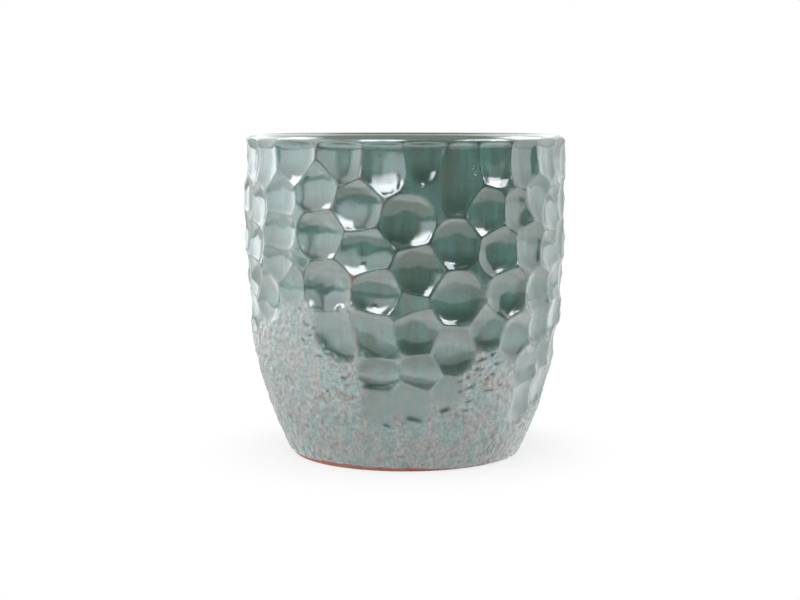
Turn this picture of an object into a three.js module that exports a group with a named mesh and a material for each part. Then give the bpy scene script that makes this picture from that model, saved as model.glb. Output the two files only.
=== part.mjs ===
// A ceramic flower pot. A pressed wall of red clay stands on a clay floor slab, and two coats of glaze cover
// them: one over the outside and the lip, one over the inside. Round scoops were pressed into the outside of
// the soft wall, so that their edges meet in ridges. Millimetres, +Z up, origin at the middle of the foot.
import * as THREE from "three";

// Clay body
const CLAY_HEIGHT = 319; // ground to the crest of the bare lip
const BELLY_RADIUS = 160; // outside of the clay at its widest ring
const BELLY_HEIGHT = 235; // height of the widest ring
const BELLY_FULLNESS = 2.5; // how late the side turns in towards the foot
const RIM_RADIUS = 158.5; // outside of the clay at the lip
const FOOT_RADIUS = 112.5; // outside of the clay on the ground
const WALL = 11; // wall thickness, measured level
const LIP_RISE = 6; // height of the rounded lip
const RIM_BAND = 2; // plain band between the scoops and the lip
const FOOT_BAND = 6; // plain band between the floor joint and the scooped skin

// Floor slab
const FLOOR = 12; // slab thickness
const FOOT_RISE = 5; // hollow under the slab
const FOOT_WIDTH = 14; // ring that touches the ground
const FOOT_BEVEL = 1.5;
const SHOULDER_HEIGHT = 7; // step of the slab that carries the wall
const COVE_RADIUS = 12; // rounded corner between wall and floor
const DRAIN_RADIUS = 12;
const DRAIN_BEVEL = 1.5;

// Glaze coats and joints
const GLAZE = 0.8; // thickness of a coat
const GLAZE_LINE = 4; // bare clay below this height
const GLAZE_SETBACK = 2; // bare clay around the drain hole
const SEAT = 0.3; // clearance wherever two pieces meet

// Scoops
const TOOL_RADIUS = 70; // roundness of the tool that pressed them
const BOWL_SHARE = 0.55; // middle ring of each scoop, from its centre to its edge
const SKIN_PITCH = 28; // rise between the rows of points on the uncut skin
const SKIN_COLUMNS = 32; // points round the uncut skin
const LEAST_SKIN = 8; // narrowest uncut patch that gets a point of its own

// Facets
const SEGMENTS = 48; // round the pot
const LIP_STEPS = 4; // over the lip
const COVE_STEPS = 3;
const WALL_STEPS = 4; // up the inside
const SAME_CORNER = 0.02; // corners closer than this are one

// The scoops of the front half: bearing from the front in degrees, drop below the lip, reach of the cut.
// The back half repeats them turned by half a turn.
const SCOOPS = [
  [-82, 23, 25], [-69, 26, 25], [-57, 29, 23], [-42, 21, 27], [-22, 22, 26], [-6.5, 29, 27], [6, 30, 22],
  [16.2, 35, 26], [30, 27, 24], [44, 28, 24], [58.5, 20, 22], [71, 24, 24], [86, 7, 21],
  [-75, 60, 25], [-63, 68, 23], [-48, 58, 25], [-31.5, 48, 27], [-16.5, 64, 27.5], [0.5, 78, 29],
  [15.2, 53, 26], [28, 70, 25], [41.5, 70, 23], [52, 58, 23], [62, 72, 24], [75, 64, 24], [87, 43, 26],
  [-79, 97, 25], [-66, 103, 24], [-51, 89, 25], [-33.5, 91, 27], [-15.5, 105, 27], [4, 123, 28],
  [17, 98, 26], [33.5, 107, 27], [47.5, 104, 25], [61, 109, 24], [73, 101, 24], [86, 82, 25],
  [-81, 134, 25], [-68, 136, 24], [-49, 116, 23], [-42.5, 139, 19], [-30, 136, 27], [-10.5, 141, 27],
  [1, 154, 20], [17.5, 149, 29], [37.5, 146, 27], [54, 148, 26], [67, 142, 24], [77, 139, 22], [87, 119, 25],
  [-84, 162, 23], [-73, 172, 24], [-57, 153, 26], [-25, 182, 25], [-13, 182, 25], [4, 179, 26],
  [16.5, 198, 26], [30, 181, 23], [43, 190, 24], [57, 181, 25], [70, 176, 24], [86, 157, 25],
  [-11.5, 220, 22], [5.5, 218, 23], [52, 220, 24], [64, 212, 22], [77, 208, 24], [88, 194, 24],
  [-10.5, 252, 21], [3, 250, 20], [14, 238, 20], [54, 256, 24], [66, 244, 23], [79, 245, 24],
];

const TURN = 2 * Math.PI;
const GIRTH = TURN * BELLY_RADIUS;
const COAT = SEAT + GLAZE;
const LIP_START = CLAY_HEIGHT - LIP_RISE;
const SCOOPED_TOP = LIP_START - RIM_BAND;
const WALL_BOTTOM = SHOULDER_HEIGHT + SEAT;
const SCOOPED_BOTTOM = WALL_BOTTOM + FOOT_BAND;
const FLOOR_TOP = FOOT_RISE + FLOOR;
const COVE_HEIGHT = FLOOR_TOP + COVE_RADIUS;

// Outside of the clay before the scoops: it swells from the foot to the belly, then draws in a little.
function clayRadius(z) {
  if (z < BELLY_HEIGHT) {
    const below = (BELLY_HEIGHT - z) / BELLY_HEIGHT;
    return BELLY_RADIUS - (BELLY_RADIUS - FOOT_RADIUS) * below ** BELLY_FULLNESS;
  }
  const above = (z - BELLY_HEIGHT) / (CLAY_HEIGHT - BELLY_HEIGHT);
  return BELLY_RADIUS - (BELLY_RADIUS - RIM_RADIUS) * above ** 2;
}

const COVE_MIDDLE = clayRadius(COVE_HEIGHT) - WALL - COVE_RADIUS;
const LIP_MIDDLE = clayRadius(LIP_START) - WALL / 2;

// The pot's skin unrolled: u runs round the belly, v is the height. Each scoop is a shallow round cut.
function scoopSites() {
  const sites = [];
  for (const halfTurn of [0, 180]) {
    for (const [bearing, drop, reach] of SCOOPS) {
      const u = THREE.MathUtils.degToRad(bearing + halfTurn) * BELLY_RADIUS;
      sites.push({ place: new THREE.Vector2(u, CLAY_HEIGHT - drop), reach, isScoop: true });
    }
  }
  return sites;
}

// The way from one place on the unrolled skin to another, by the shorter way round.
function wayBetween(from, to) {
  const way = to.clone().sub(from);
  way.x -= Math.round(way.x / GIRTH) * GIRTH;
  return way;
}

// Points on the skin that no scoop touches. Close to a cut, a point's reach ends where the cut begins.
function uncutSites(scoops) {
  const sites = [];
  const rows = Math.ceil((SCOOPED_TOP - SCOOPED_BOTTOM) / SKIN_PITCH);
  for (let row = 0; row < rows; row += 1) {
    for (let column = 0; column < SKIN_COLUMNS; column += 1) {
      const u = ((column + (row % 2) / 2) / SKIN_COLUMNS) * GIRTH;
      const place = new THREE.Vector2(u, SCOOPED_BOTTOM + (row + 0.5) * SKIN_PITCH);
      const clearances = scoops.map((scoop) => wayBetween(scoop.place, place).length() - scoop.reach);
      const reach = Math.min(...clearances, SKIN_PITCH / 2);
      if (reach > LEAST_SKIN) {
        sites.push({ place, reach, isScoop: false });
      }
    }
  }
  return sites;
}

// Keeps the part of a convex outline where the way from origin, along normal, is at most limit.
function clipOutline(outline, origin, normal, limit) {
  const kept = [];
  outline.forEach((corner, index) => {
    const next = outline[(index + 1) % outline.length];
    const here = corner.clone().sub(origin).dot(normal) - limit;
    const there = next.clone().sub(origin).dot(normal) - limit;
    if (here <= 0) {
      kept.push(corner);
    }
    if (here * there < 0) {
      kept.push(corner.clone().lerp(next, here / (here - there)));
    }
  });
  return kept;
}

// The patch of skin that belongs to a site: two equal round cuts meet on a straight ridge between them.
function patchOutline(site, sites) {
  const { x, y } = site.place;
  const side = GIRTH / 4;
  let outline = [
    new THREE.Vector2(x - side, SCOOPED_BOTTOM),
    new THREE.Vector2(x + side, SCOOPED_BOTTOM),
    new THREE.Vector2(x + side, SCOOPED_TOP),
    new THREE.Vector2(x - side, SCOOPED_TOP),
  ];
  for (const other of sites) {
    if (other !== site) {
      const way = wayBetween(site.place, other.place);
      const ridge = (way.lengthSq() + site.reach ** 2 - other.reach ** 2) / 2;
      outline = clipOutline(outline, site.place, way, ridge);
    }
  }
  return outline;
}

function scoopDepth(site, place) {
  const way = wayBetween(site.place, place);
  return Math.max(0, (site.reach ** 2 - way.lengthSq()) / (2 * TOOL_RADIUS));
}

// The scooped skin as points and faces. A point has a bearing, a height and its depth under the plain skin.
function pressScoops() {
  const points = [];
  const faces = [];
  const corners = [];
  const scoops = scoopSites();
  const sites = [...scoops, ...uncutSites(scoops)];

  function addPoint(place, depth) {
    const bearing = THREE.MathUtils.euclideanModulo(place.x / BELLY_RADIUS, TURN);
    return points.push({ bearing, z: place.y, depth }) - 1;
  }

  // A corner shared by patches is one point, level with the plain skin wherever it borders on uncut skin.
  function addCorner(place, site) {
    let corner = corners.find((known) => wayBetween(known.place, place).length() < SAME_CORNER);
    if (!corner) {
      corner = { place, index: addPoint(place, scoopDepth(site, place)) };
      corners.push(corner);
    }
    const onBorder = place.y < SCOOPED_BOTTOM + SAME_CORNER || place.y > SCOOPED_TOP - SAME_CORNER;
    if (onBorder || !site.isScoop) {
      points[corner.index].depth = 0;
    }
    return corner.index;
  }

  for (const site of sites) {
    const outline = patchOutline(site, sites);
    const placed = outline.map((place) => ({ place, index: addCorner(place, site) }));
    const edge = placed.filter((corner, i) => corner.index !== placed.at(i - 1).index);
    if (edge.length > 2) {
      const sum = edge.reduce((total, corner) => total.add(corner.place), new THREE.Vector2());
      const middle = sum.divideScalar(edge.length);
      const depthAt = (place) => (site.isScoop ? scoopDepth(site, place) : 0);
      const centre = addPoint(middle, depthAt(middle));
      const bowl = edge.map((corner) => {
        const place = middle.clone().lerp(corner.place, BOWL_SHARE);
        return site.isScoop ? addPoint(place, depthAt(place)) : corner.index;
      });
      edge.forEach((corner, i) => {
        const next = (i + 1) % edge.length;
        faces.push([centre, bowl[i], bowl[next]]);
        if (site.isScoop) {
          faces.push([bowl[i], corner.index, edge[next].index]);
          faces.push([bowl[i], edge[next].index, bowl[next]]);
        }
      });
    }
  }

  function loopAt(z) {
    const indices = corners.map((corner) => corner.index);
    const loop = indices.filter((index) => Math.abs(points[index].z - z) < SAME_CORNER);
    return loop.sort((a, b) => points[a].bearing - points[b].bearing);
  }

  return { points, faces, bottomLoop: loopAt(SCOOPED_BOTTOM), topLoop: loopAt(SCOOPED_TOP) };
}

// A surface under construction. Rings have their points at equal bearings, starting at the front.
class Surface {
  constructor() {
    this.positions = [];
    this.bearings = [];
    this.faces = [];
  }

  addPoint(bearing, radius, z) {
    this.positions.push(radius * Math.sin(bearing), -radius * Math.cos(bearing), z);
    return this.bearings.push(bearing) - 1;
  }

  addRing([radius, z]) {
    return Array.from({ length: SEGMENTS }, (_, i) => this.addPoint((i / SEGMENTS) * TURN, radius, z));
  }

  addBand(lower, upper) {
    lower.forEach((corner, i) => {
      const next = (i + 1) % lower.length;
      this.faces.push([corner, lower[next], upper[next]], [corner, upper[next], upper[i]]);
    });
  }

  addBands(rings) {
    rings.slice(1).forEach((ring, i) => this.addBand(rings[i], ring));
  }

  // Joins two loops that have unlike numbers of points, both sorted by bearing.
  addStitches(lower, upper) {
    const ahead = (loop, i) => this.bearings[loop[i % loop.length]] + TURN * Math.floor(i / loop.length);
    let low = 0;
    let high = 0;
    while (low < lower.length || high < upper.length) {
      const a = lower[low % lower.length];
      const b = upper[high % upper.length];
      if (high === upper.length || (low < lower.length && ahead(lower, low + 1) < ahead(upper, high + 1))) {
        low += 1;
        this.faces.push([a, lower[low % lower.length], b]);
      } else {
        high += 1;
        this.faces.push([a, upper[high % upper.length], b]);
      }
    }
  }

  // The scooped skin, lifted off the clay by an offset, between the floor joint and the start of the lip.
  addScoopedSkin(skin, offset, facesIn) {
    const first = this.faces.length;
    const indices = skin.points.map(({ bearing, z, depth }) =>
      this.addPoint(bearing, clayRadius(z) - depth + offset, z),
    );
    skin.faces.forEach((face) => this.faces.push(face.map((index) => indices[index])));
    const bottomRing = this.addRing([clayRadius(WALL_BOTTOM) + offset, WALL_BOTTOM]);
    const topRing = this.addRing([clayRadius(LIP_START) + offset, LIP_START]);
    this.addStitches(bottomRing, skin.bottomLoop.map((index) => indices[index]));
    this.addStitches(skin.topLoop.map((index) => indices[index]), topRing);
    if (facesIn) {
      this.faces.slice(first).forEach((face) => face.reverse());
    }
    return { bottomRing, topRing };
  }

  toGeometry() {
    const geometry = new THREE.BufferGeometry();
    geometry.setAttribute("position", new THREE.Float32BufferAttribute(this.positions, 3));
    geometry.setIndex(this.faces.flat());
    geometry.computeVertexNormals();
    return geometry;
  }
}

// Section of the rounded lip, from just past the outside to the inside, an offset away from the clay.
function lipSection(offset) {
  return Array.from({ length: LIP_STEPS }, (_, i) => {
    const angle = ((i + 1) / LIP_STEPS) * Math.PI;
    const radius = LIP_MIDDLE + (WALL / 2 + offset) * Math.cos(angle);
    return [radius, LIP_START + (LIP_RISE + offset) * Math.sin(angle)];
  });
}

// Section of the inside, from a height on the wall down round the cove to the floor.
function insideSection(offset, top) {
  const wall = Array.from({ length: WALL_STEPS }, (_, i) => {
    const z = THREE.MathUtils.lerp(top, COVE_HEIGHT, i / WALL_STEPS);
    return [clayRadius(z) - WALL - offset, z];
  });
  const cove = Array.from({ length: COVE_STEPS + 1 }, (_, i) => {
    const angle = (i / COVE_STEPS) * (Math.PI / 2);
    const radius = COVE_RADIUS - offset;
    return [COVE_MIDDLE + radius * Math.cos(angle), COVE_HEIGHT - radius * Math.sin(angle)];
  });
  return [...wall, ...cove];
}

// A closed section turned round the pot's axis.
function revolve(section) {
  const corners = [...section, section[0]].map(([radius, z]) => new THREE.Vector2(radius, z));
  return new THREE.LatheGeometry(corners, SEGMENTS).rotateX(Math.PI / 2);
}

function clayWall(skin) {
  const surface = new Surface();
  const { bottomRing, topRing } = surface.addScoopedSkin(skin, 0, false);
  const inside = insideSection(0, LIP_START).slice(1);
  const section = [...lipSection(0), ...inside, [COVE_MIDDLE, WALL_BOTTOM]];
  surface.addBands([topRing, ...section.map((corner) => surface.addRing(corner)), bottomRing]);
  return surface.toGeometry();
}

function clayFloor() {
  const footInside = FOOT_RADIUS - FOOT_WIDTH;
  const plug = COVE_MIDDLE - SEAT;
  return revolve([
    [DRAIN_RADIUS + DRAIN_BEVEL, FOOT_RISE],
    [footInside - FOOT_RISE, FOOT_RISE],
    [footInside, 0],
    [FOOT_RADIUS - FOOT_BEVEL, 0],
    [clayRadius(FOOT_BEVEL), FOOT_BEVEL],
    [clayRadius(SHOULDER_HEIGHT), SHOULDER_HEIGHT],
    [plug, SHOULDER_HEIGHT],
    [plug, FLOOR_TOP],
    [DRAIN_RADIUS + DRAIN_BEVEL, FLOOR_TOP],
    [DRAIN_RADIUS, FLOOR_TOP - DRAIN_BEVEL],
    [DRAIN_RADIUS, FOOT_RISE + DRAIN_BEVEL],
  ]);
}

function outerGlaze(skin) {
  const surface = new Surface();
  const outside = surface.addScoopedSkin(skin, COAT, false);
  const clayside = surface.addScoopedSkin(skin, SEAT, true);
  const section = [...lipSection(COAT), ...lipSection(SEAT).reverse()];
  const overLip = section.map((corner) => surface.addRing(corner));
  surface.addBands([outside.topRing, ...overLip, clayside.topRing]);
  const hem = [SEAT, COAT].map((offset) => surface.addRing([clayRadius(GLAZE_LINE) + offset, GLAZE_LINE]));
  surface.addBands([clayside.bottomRing, ...hem, outside.bottomRing]);
  return surface.toGeometry();
}

function innerGlaze() {
  const top = LIP_START - SEAT;
  const hole = DRAIN_RADIUS + DRAIN_BEVEL + GLAZE_SETBACK;
  const clayside = insideSection(SEAT, top).reverse();
  const inside = insideSection(COAT, top);
  return revolve([[hole, FLOOR_TOP + SEAT], ...clayside, ...inside, [hole, FLOOR_TOP + COAT]]);
}

const redClay = { color: 0xb9745c, roughness: 0.85, metalness: 0 };
const tealGlaze = { color: 0x5d8279, roughness: 0.12, metalness: 0 };

function makePiece(name, geometry, finish) {
  const mesh = new THREE.Mesh(geometry, new THREE.MeshStandardMaterial(finish));
  mesh.name = name;
  return mesh;
}

const skin = pressScoops();
const flowerPot = new THREE.Group();
flowerPot.name = "flower_pot";
flowerPot.add(makePiece("clay_wall", clayWall(skin), redClay));
flowerPot.add(makePiece("clay_floor", clayFloor(), redClay));
flowerPot.add(makePiece("outer_glaze", outerGlaze(skin), tealGlaze));
flowerPot.add(makePiece("inner_glaze", innerGlaze(), tealGlaze));

export default flowerPot;
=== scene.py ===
# %% [markdown]
# # A scooped flower pot
# This lesson dresses a fired clay flower pot. Its outside is covered with round scoops that were pressed
# into the wet clay, and a glossy teal-green glaze runs over them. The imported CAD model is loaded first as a
# fixed frame, so everything that is made here lies in the same place and at the same size, in metres.

# %% Load the frame
import math

import bpy
import numpy as np
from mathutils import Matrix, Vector, noise


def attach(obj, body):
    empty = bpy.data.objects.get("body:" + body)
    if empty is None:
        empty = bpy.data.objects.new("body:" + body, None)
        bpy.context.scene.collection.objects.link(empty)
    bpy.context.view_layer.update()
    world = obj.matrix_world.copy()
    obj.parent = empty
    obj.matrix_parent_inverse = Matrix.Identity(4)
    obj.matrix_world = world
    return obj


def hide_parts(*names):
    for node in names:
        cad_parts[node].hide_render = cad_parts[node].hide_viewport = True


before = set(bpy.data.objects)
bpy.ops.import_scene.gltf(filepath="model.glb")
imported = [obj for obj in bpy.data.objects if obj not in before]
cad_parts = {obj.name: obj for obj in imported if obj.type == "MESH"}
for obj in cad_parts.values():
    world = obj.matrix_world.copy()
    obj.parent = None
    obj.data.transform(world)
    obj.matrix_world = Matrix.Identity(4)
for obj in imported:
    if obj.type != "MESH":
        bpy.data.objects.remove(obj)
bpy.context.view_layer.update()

# %% [markdown]
# ## The camera
# The photograph was taken from about five pot heights away and a little above the rim, so the rim shows as
# a thin ellipse. Rim, foot and side outline together give the distance, the tilt and the lens. The camera
# is set first, because every later choice is judged through it.

# %% Camera at the photograph's view
CAMERA_PLACE = (-0.0053, -1.637, 0.3323)
CAMERA_TILT = 6.27          # degrees below level
CAMERA_LENS = 73.29         # mm on a 36 mm wide sensor

scene = bpy.context.scene
camera = bpy.data.objects.new("photo_camera", bpy.data.cameras.new("photo_camera"))
camera.data.lens = CAMERA_LENS
camera.location = CAMERA_PLACE
camera.rotation_euler = (math.radians(90 - CAMERA_TILT), 0, 0)
scene.collection.objects.link(camera)
scene.camera = camera
scene.view_settings.view_transform = "Standard"
print("camera", round(Vector(CAMERA_PLACE).length, 3), "m away, lens", CAMERA_LENS, "mm")

# %% [markdown]
# ## The turned form
# Under its scoops the pot is a plain turned form: a narrow foot, a wall that swells to a belly near the top
# and draws in slightly at the rim, and a rounded lip. A short formula gives the clay's radius at any height,
# which is easier to keep true than a hand-placed profile, and each coat of glaze is an offset from it.

# %% Sizes of the turned form, in millimetres
MM = 0.001
CLAY_HEIGHT, BELLY_HEIGHT = 319, 235
BELLY_RADIUS, RIM_RADIUS, FOOT_RADIUS = 160, 158.5, 112.5
BELLY_FULLNESS = 2.5
WALL, LIP_RISE = 11, 6
FLOOR_TOP, FOOT_RISE, FOOT_WIDTH, FOOT_BEVEL, SHOULDER = 17, 5, 14, 1.5, 7
COVE, DRAIN_RADIUS, DRAIN_BEVEL = 12, 12, 1.5
DRAIN_MARGIN = 2            # bare clay round the drain hole
SEAT, COAT = 0.3, 1.1       # the two faces of a coat of glaze, measured from the clay
LEAST_COAT = 0.5            # the outer face never comes nearer to the clay than this
LIP_START = CLAY_HEIGHT - LIP_RISE
WALL_BOTTOM = SHOULDER + SEAT


def clay_radius(height):
    below = np.clip((BELLY_HEIGHT - height) / BELLY_HEIGHT, 0, 1)
    above = np.clip((height - BELLY_HEIGHT) / (CLAY_HEIGHT - BELLY_HEIGHT), 0, 1)
    return (BELLY_RADIUS - (BELLY_RADIUS - FOOT_RADIUS) * below**BELLY_FULLNESS
            - (BELLY_RADIUS - RIM_RADIUS) * above**2)


LIP_MIDDLE = float(clay_radius(LIP_START)) - WALL / 2
COVE_HEIGHT = FLOOR_TOP + COVE
COVE_MIDDLE = float(clay_radius(COVE_HEIGHT)) - WALL - COVE
print("lip over radius", round(LIP_MIDDLE, 1), "mm, cove round", round(COVE_MIDDLE, 1), "mm")

# %% [markdown]
# ## The scoops
# Each scoop is the mark of one round-ended tool, so all have much the same roundness and differ in how far
# they reach. Where two cuts meet, the deeper one wins and a straight ridge is left, which gives the pattern
# of rounded cells. They could be cut with hundreds of booleans, but the mark of a round tool is a simple bowl
# formula. A soft maximum over all the bowls gives the same surface with rounded ridges, as glaze leaves them.
# Every scoop is listed as bearing in degrees from the front, drop below the rim and reach in millimetres.
# Scoops under the rim are taller than wide. A few in front are long or squat, or lean, and say by how much.

# %% Where the scoops are
SCOOPS = [
    (-75, 60, 25), (-63, 68, 23), (-48, 58, 25), (-31.5, 48, 27), (-16.5, 64, 27.5), (0.5, 78, 29),
    (28, 70, 25), (41.5, 70, 23), (52, 58, 23), (62, 72, 24), (75, 64, 24), (87, 43, 26),
    (-79, 97, 25), (-66, 103, 24), (-48.5, 89, 26), (-29.5, 91, 28), (4, 123, 28),
    (17, 98, 26), (33.5, 107, 27), (47.5, 104, 25), (61, 109, 24), (73, 101, 24), (86, 82, 25),
    (-81, 134, 25), (-68, 136, 24), (-49, 116, 23), (-42.5, 139, 19), (-27.5, 138, 29),
    (1, 154, 20), (17.5, 149, 29), (37.5, 146, 27), (54, 148, 26), (67, 142, 24), (77, 139, 22),
    (87, 119, 25),
    (-84, 162, 23), (-73, 172, 24), (-57, 153, 26), (4, 179, 26),
    (16.5, 198, 26), (30, 178, 22), (43, 190, 24), (57, 181, 25), (70, 176, 24), (86, 157, 25),
    (52, 220, 24), (64, 212, 22), (77, 208, 24), (88, 194, 24),
    (-10, 252.5, 18), (2.5, 247, 19), (14.5, 239, 18), (54, 256, 24), (66, 244, 23), (79, 245, 24),
]
RIM_STRETCH = 1.22
RIM_SCOOPS = [
    (-82, 19, 25), (-69, 22, 25), (-57, 24, 23), (-41, 16.5, 28.5), (-22, 18, 26), (-7.5, 24.5, 26.5),
    (31.5, 22, 22.5), (44.5, 23.5, 23), (58.5, 16, 22), (71, 20, 24), (86, 5, 21),
]
LONG_SCOOPS = [             # with stretch, which is under 1 for a squat one, and lean in degrees
    (6, 15, 24.5, 1.25, -10), (18.5, 37, 24, 1.7, -6), (1.5, 30, 15, 1.6, 0), (-14.5, 105, 24.5, 1.3, 90),
    (-9.5, 142.5, 28.5, 0.86, 0), (-24.5, 183, 21.5, 1.35, 38), (-10.5, 183, 22.5, 1.35, 45),
    (-9.5, 219, 22.5, 0.72, 0), (6, 218, 24.5, 0.78, -12),
]
FRONT_SCOOPS = [(*scoop, 1.0, 0) for scoop in SCOOPS]
FRONT_SCOOPS += [(*scoop, RIM_STRETCH, 0) for scoop in RIM_SCOOPS] + LONG_SCOOPS
ALL_SCOOPS = FRONT_SCOOPS + [(bearing + 180, *rest) for bearing, *rest in FRONT_SCOOPS]
print(len(FRONT_SCOOPS), "scoops seen from the front and as many behind")

# %% Depth of the scooped surface
TOOL_RADIUS = 62
FLATNESS, EDGE = 0.65, 22   # a scoop is flatter in its middle and steeper past EDGE mm than a true bowl


def turn_between(bearing, other):
    return (bearing - other + math.pi) % (2 * math.pi) - math.pi


def scooped(bearing, height, softness):
    """At each point: depth below the uncut skin in mm, the skin's share, nearness to a ridge from 0 to about
    0.5, and the place within its scoop from -1 at the top to 1 at the bottom."""
    everyone, strongest = np.ones_like(bearing), np.ones_like(bearing)
    low = np.zeros_like(bearing)
    for place, drop, reach, stretch, lean in ALL_SCOOPS:
        across = turn_between(bearing, math.radians(place)) * BELLY_RADIUS
        up = height - (CLAY_HEIGHT - drop)
        cos, sin = math.cos(math.radians(lean)), math.sin(math.radians(lean))
        out = (across * cos + up * sin) ** 2 + ((up * cos - across * sin) / stretch) ** 2
        bowl = out * (FLATNESS + (1 - FLATNESS) * out / EDGE**2)
        share = np.exp((reach**2 - bowl) / (2 * TOOL_RADIUS * softness))
        everyone += share
        low -= share * up / (EDGE * stretch)
        np.maximum(strongest, share, out=strongest)
    return softness * np.log(everyone), 1 / everyone, 1 - strongest / everyone, low / everyone


# %% Washed-out ridges and the run-out under the lip
RIDGE_SOFTNESS = 0.35       # mm; larger rounds the ridges more
SOFT_PLACE, SOFT_SIZE = (6, 283), (20, 26)  # bearing and height of a patch, half its width and height in mm
SOFTER = 1.2                # how much softer the ridges are in that patch
SCOOPS_END = LIP_START - 1.2
RIM_STEEPNESS = (0.4, 1.5)  # mm of depth for each mm below the end, at the sides and in front
RIM_SOFTNESS = 1.5          # mm; rounds the fold between scoop and run-out
RIM_ARCH, SIDE_RISE = 0.35, 5   # the end is higher over a deep scoop, and by some mm at the sides


def softened(bearing, height):
    """How far the ridges are washed out by thick glaze: a patch under the rim, front and back."""
    place, level = SOFT_PLACE
    across = turn_between(2 * bearing, 2 * math.radians(place)) / 2 * BELLY_RADIUS
    return np.exp(-((across / SOFT_SIZE[0]) ** 2) - ((height - level) / SOFT_SIZE[1]) ** 2)


def scoop_depth(bearing, height):
    """Depth of the scoops, which run out under the lip: in a short steep cove in front and behind, and more
    gently and higher at the sides, where the cove would stand out as a ledge in the outline."""
    depth = scooped(bearing, height, RIDGE_SOFTNESS * (1 + SOFTER * softened(bearing, height)))[0]
    steepness = RIM_STEEPNESS[0] + (RIM_STEEPNESS[1] - RIM_STEEPNESS[0]) * np.cos(bearing) ** 2
    end = SCOOPS_END + RIM_ARCH * depth + SIDE_RISE * np.sin(bearing) ** 4
    room = (end - height) * steepness
    held = -RIM_SOFTNESS * np.log(np.exp(-depth / RIM_SOFTNESS) + np.exp(-room / RIM_SOFTNESS))
    return np.maximum(held, 0)


sample = scoop_depth(np.radians(np.array([0.5, 9.0])), np.array([241.0, 241.0]))
print("depth in a scoop and on a ridge:", sample.round(2), "mm")

# %% [markdown]
# ## The coarse lower wall and small marks
# Below the scoops the clay was left rough, like bark: lumps a few millimetres across, with short dark nicks
# between them. A few wider dents cross the smooth wall, and some bubbles burst in the glaze. A bump texture
# would vanish at the outline, so all of these are real: formulas and noise move the points of the mesh, and
# the skin's share from the last step keeps the lumps out of the scoops.

# %% Lumps, beads, waves and runs
LUMP_HEIGHT, LUMP_SIZE = 0.95, 5.2  # mm
LUMP_RAISE, LUMP_GAIN = 0.5, 1.2    # lumps stand out more than they dip, and flatten at their tops
FINER, FINE_SHARE, FINE_SHIFT = 2.1, 0.5, Vector((7, 3, 1))
BEAD_HEIGHT, BEAD_SIZE = 0.5, 6
WAVE_HEIGHT, WAVE_SIZE = 0.32, 13
RUN_HEIGHT, RUN_WIDTH, RUN_LENGTH = 0.12, 8, 26
LEAST_LUMPY, LEAST_BEADED = 0.02, 0.05  # noise is worked out only where a mask is above these


def lumps(points, where):
    """Height of the lumps from -1 to 1 at each point of the uncut skin."""
    height = np.zeros(len(points))
    for index in np.flatnonzero(where > LEAST_LUMPY):
        near = Vector(points[index] / LUMP_SIZE)
        height[index] = noise.noise(near) + FINE_SHARE * noise.noise(near * FINER + FINE_SHIFT)
    return np.clip(height * LUMP_GAIN, -1, 1)


def beads(points, where):
    """Small swellings of the glaze along the ridges, from -1 to 1."""
    height = np.zeros(len(points))
    for index in np.flatnonzero(where > LEAST_BEADED):
        height[index] = noise.noise(Vector(points[index] / BEAD_SIZE))
    return height


def unevenness(points):
    """The hand's waves and the glaze's runs, in mm, which keep the mirrored room from looking ruled."""
    waves = [noise.noise(Vector(point)) for point in points / WAVE_SIZE]
    runs = [noise.noise(Vector(point)) for point in points / (RUN_WIDTH, RUN_WIDTH, RUN_LENGTH)]
    return WAVE_HEIGHT * np.array(waves) + RUN_HEIGHT * np.array(runs)


print("lumps", LUMP_SIZE, "mm wide and", LUMP_HEIGHT, "mm high, beads", BEAD_SIZE, "mm apart")

# %% Nicks, dents and burst bubbles
NICKS = [                   # bearing, height, half length and slant in degrees
    (32.6, 116, 4.5, 20), (28, 111, 5.5, 25), (34.3, 106, 3.5, 0), (26.3, 102, 4, 20), (27.9, 96, 2, 0),
    (33.1, 96, 3.5, 10), (30.8, 92, 2.5, 45), (20.2, 91, 2, 0), (23.2, 95, 2, 0), (24.4, 85, 6.5, 25),
    (37.9, 84, 2.5, 0), (33, 80, 6.5, 0), (20.7, 81, 2, 0), (24.7, 71, 3.5, 20), (23.6, 62, 3.5, 0),
    (-32.2, 114, 3, -15), (-22.9, 94, 3.5, -25), (-30.7, 80, 2, 0), (-36.1, 143, 3.5, -30),
    (-35.2, 133, 2.5, 0), (-38.7, 158, 2.5, -20), (-38.3, 128, 2.5, -40), (-48.6, 87, 2.5, -20),
    (-14.3, 202, 3.4, 8), (-10.2, 163, 2.8, -25),
]
DENTS = [                   # the same, and half the height
    (-2.6, 278, 8, 84, 1.2), (-10.6, 86.5, 15, -2, 3.4), (3.4, 55, 8, -16, 2.2), (-7.6, 48.5, 4, -18, 1.5),
    (15.3, 63.5, 5.5, 14, 1.8),
]
NICK_DEPTH, NICK_TALL = 0.5, 1.1
PINHOLES = [                # bearing, height and radius of the pit
    (23.3, 290, 1.6), (24.1, 284.5, 1.5), (23, 281, 1.3), (-22.9, 159.2, 2.2),
]
PINHOLE_RIM, RIM_FAR, RIM_WIDE, HALO = 0.65, 1.7, 0.7, 2   # mm, then in radii of the pit


def nicks(bearing, height):
    """How far a point lies in a nick or dent, from 0 to 1."""
    total = np.zeros_like(bearing)
    marks = [(*nick, NICK_TALL) for nick in NICKS] + DENTS
    for place, level, half, slant, tall in marks + [(place + 180, *rest) for place, *rest in marks]:
        across = turn_between(bearing, math.radians(place)) * clay_radius(height)
        up = height - level
        turn = math.radians(slant)
        along = across * math.cos(turn) + up * math.sin(turn)
        over = up * math.cos(turn) - across * math.sin(turn)
        total = np.maximum(total, np.exp(-((along / half) ** 4) - (over / tall) ** 2))
    return total


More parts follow.
